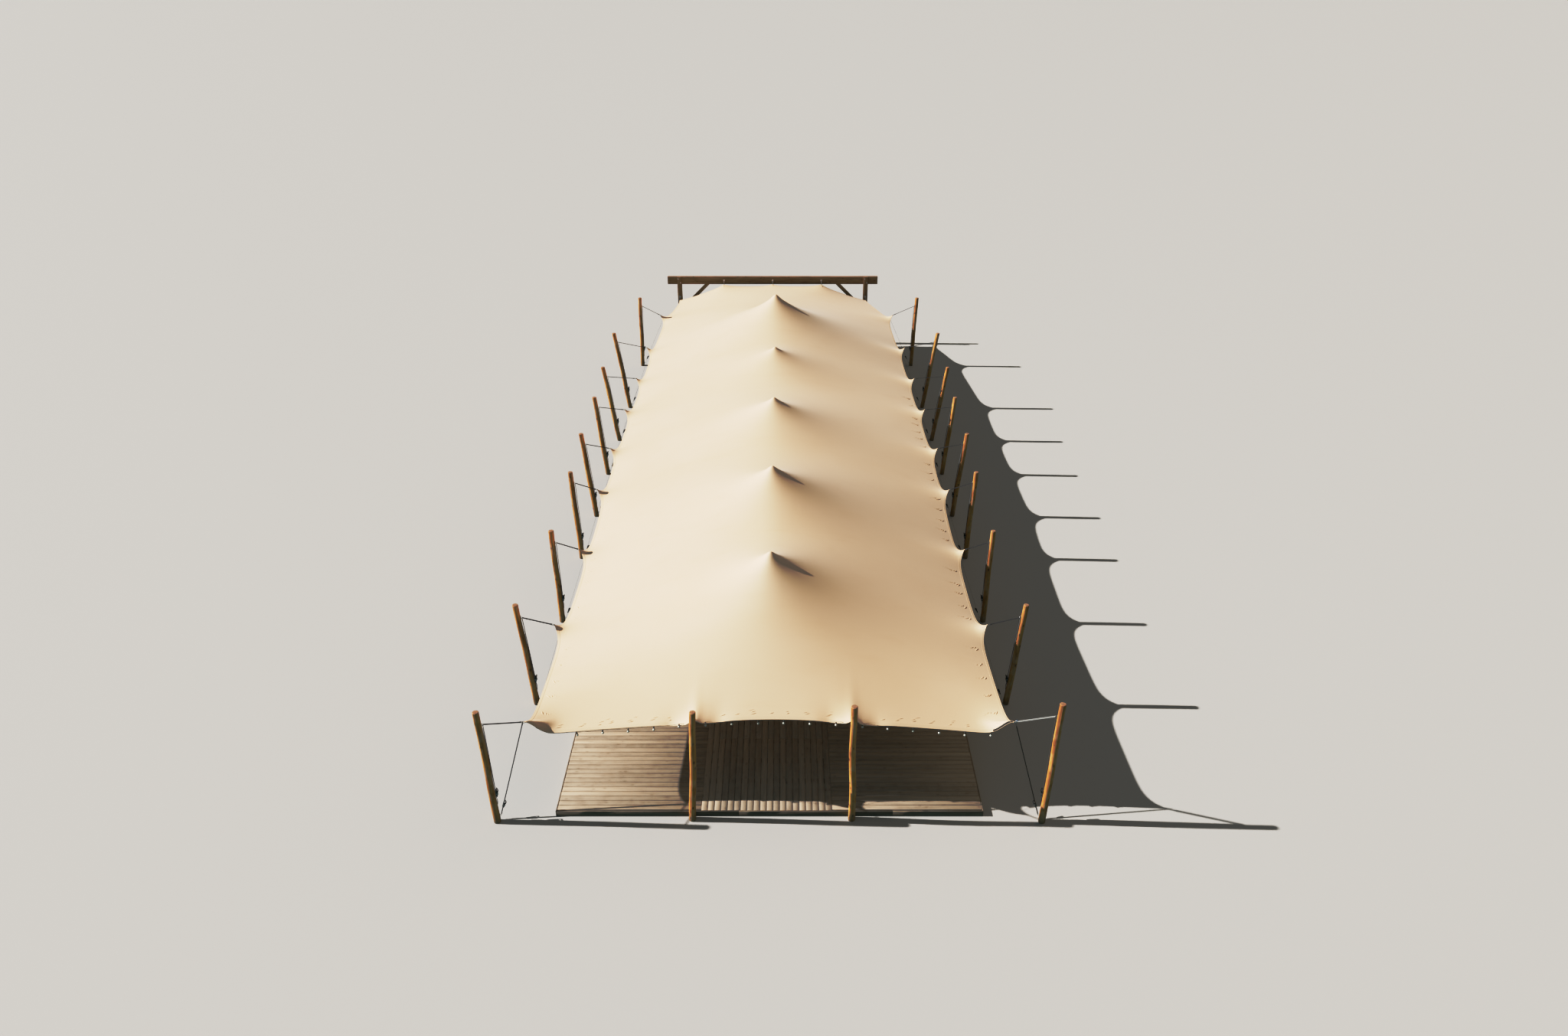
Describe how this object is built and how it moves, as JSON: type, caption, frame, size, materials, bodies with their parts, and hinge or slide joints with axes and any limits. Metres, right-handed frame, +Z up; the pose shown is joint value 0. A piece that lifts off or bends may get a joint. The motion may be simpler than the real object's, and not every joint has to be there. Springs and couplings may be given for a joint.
{
  "type": "stretch tent over a timber deck",
  "caption": "Long stretched fabric canopy on centre poles, tied by webbing to leaning round timber posts and a timber portal frame, over a boarded deck.",
  "frame": {"origin": "centre of the tent's footprint on the ground", "axes": "+Z up, +Y along the tent from its open front to the portal frame at its back, +X to the right when facing it from the front"},
  "size_m": [11.2, 26.6679, 4.05],
  "materials": {
    "canopy": "smooth two-way stretch fabric in warm sand, lightly crinkled beside the hem",
    "round_timber": "peeled round hardwood poles, orange brown with knots and grey sun-bleached streaks",
    "sawn_timber": "sawn timber, brown stain, open grain",
    "deck_timber": "weathered softwood boards, greyed light brown",
    "webbing": "woven polyester webbing, nearly black with some light grey tape",
    "steel": "galvanised steel shackles, links and eye plates",
    "lamp": "small opal lamps on a dark cable"
  },
  "bodies": {
    "root": {"canopy": "canopy", "centre_pole_1": "round_timber", "centre_pole_2": "round_timber", "centre_pole_3": "round_timber", "centre_pole_4": "round_timber", "centre_pole_5": "round_timber", "left_post_1": "round_timber", "left_post_2": "round_timber", "left_post_3": "round_timber", "left_post_4": "round_timber", "left_post_5": "round_timber", "left_post_6": "round_timber", "left_post_7": "round_timber", "left_post_8": "round_timber", "left_post_9": "round_timber", "right_post_1": "round_timber", "right_post_2": "round_timber", "right_post_3": "round_timber", "right_post_4": "round_timber", "right_post_5": "round_timber", "right_post_6": "round_timber", "right_post_7": "round_timber", "right_post_8": "round_timber", "right_post_9": "round_timber", "front_post_left": "round_timber", "front_post_right": "round_timber", "left_strap_set_1": "webbing", "left_strap_set_2": "webbing", "left_strap_set_3": "webbing", "left_strap_set_4": "webbing", "left_strap_set_5": "webbing", "left_strap_set_6": "webbing", "left_strap_set_7": "webbing", "left_strap_set_8": "webbing", "left_strap_set_9": "webbing", "right_strap_set_1": "webbing", "right_strap_set_2": "webbing", "right_strap_set_3": "webbing", "right_strap_set_4": "webbing", "right_strap_set_5": "webbing", "right_strap_set_6": "webbing", "right_strap_set_7": "webbing", "right_strap_set_8": "webbing", "right_strap_set_9": "webbing", "front_tie_left": "webbing", "front_tie_right": "webbing", "deck": "deck_timber", "header_beam": "sawn_timber", "back_post_left": "sawn_timber", "knee_brace_left": "sawn_timber", "back_post_right": "sawn_timber", "knee_brace_right": "sawn_timber", "beam_link_left": "steel", "beam_link_middle": "steel", "beam_link_right": "steel", "corner_link_left": "steel", "corner_link_right": "steel", "light_string": "lamp"}
  },
  "joints": []
}
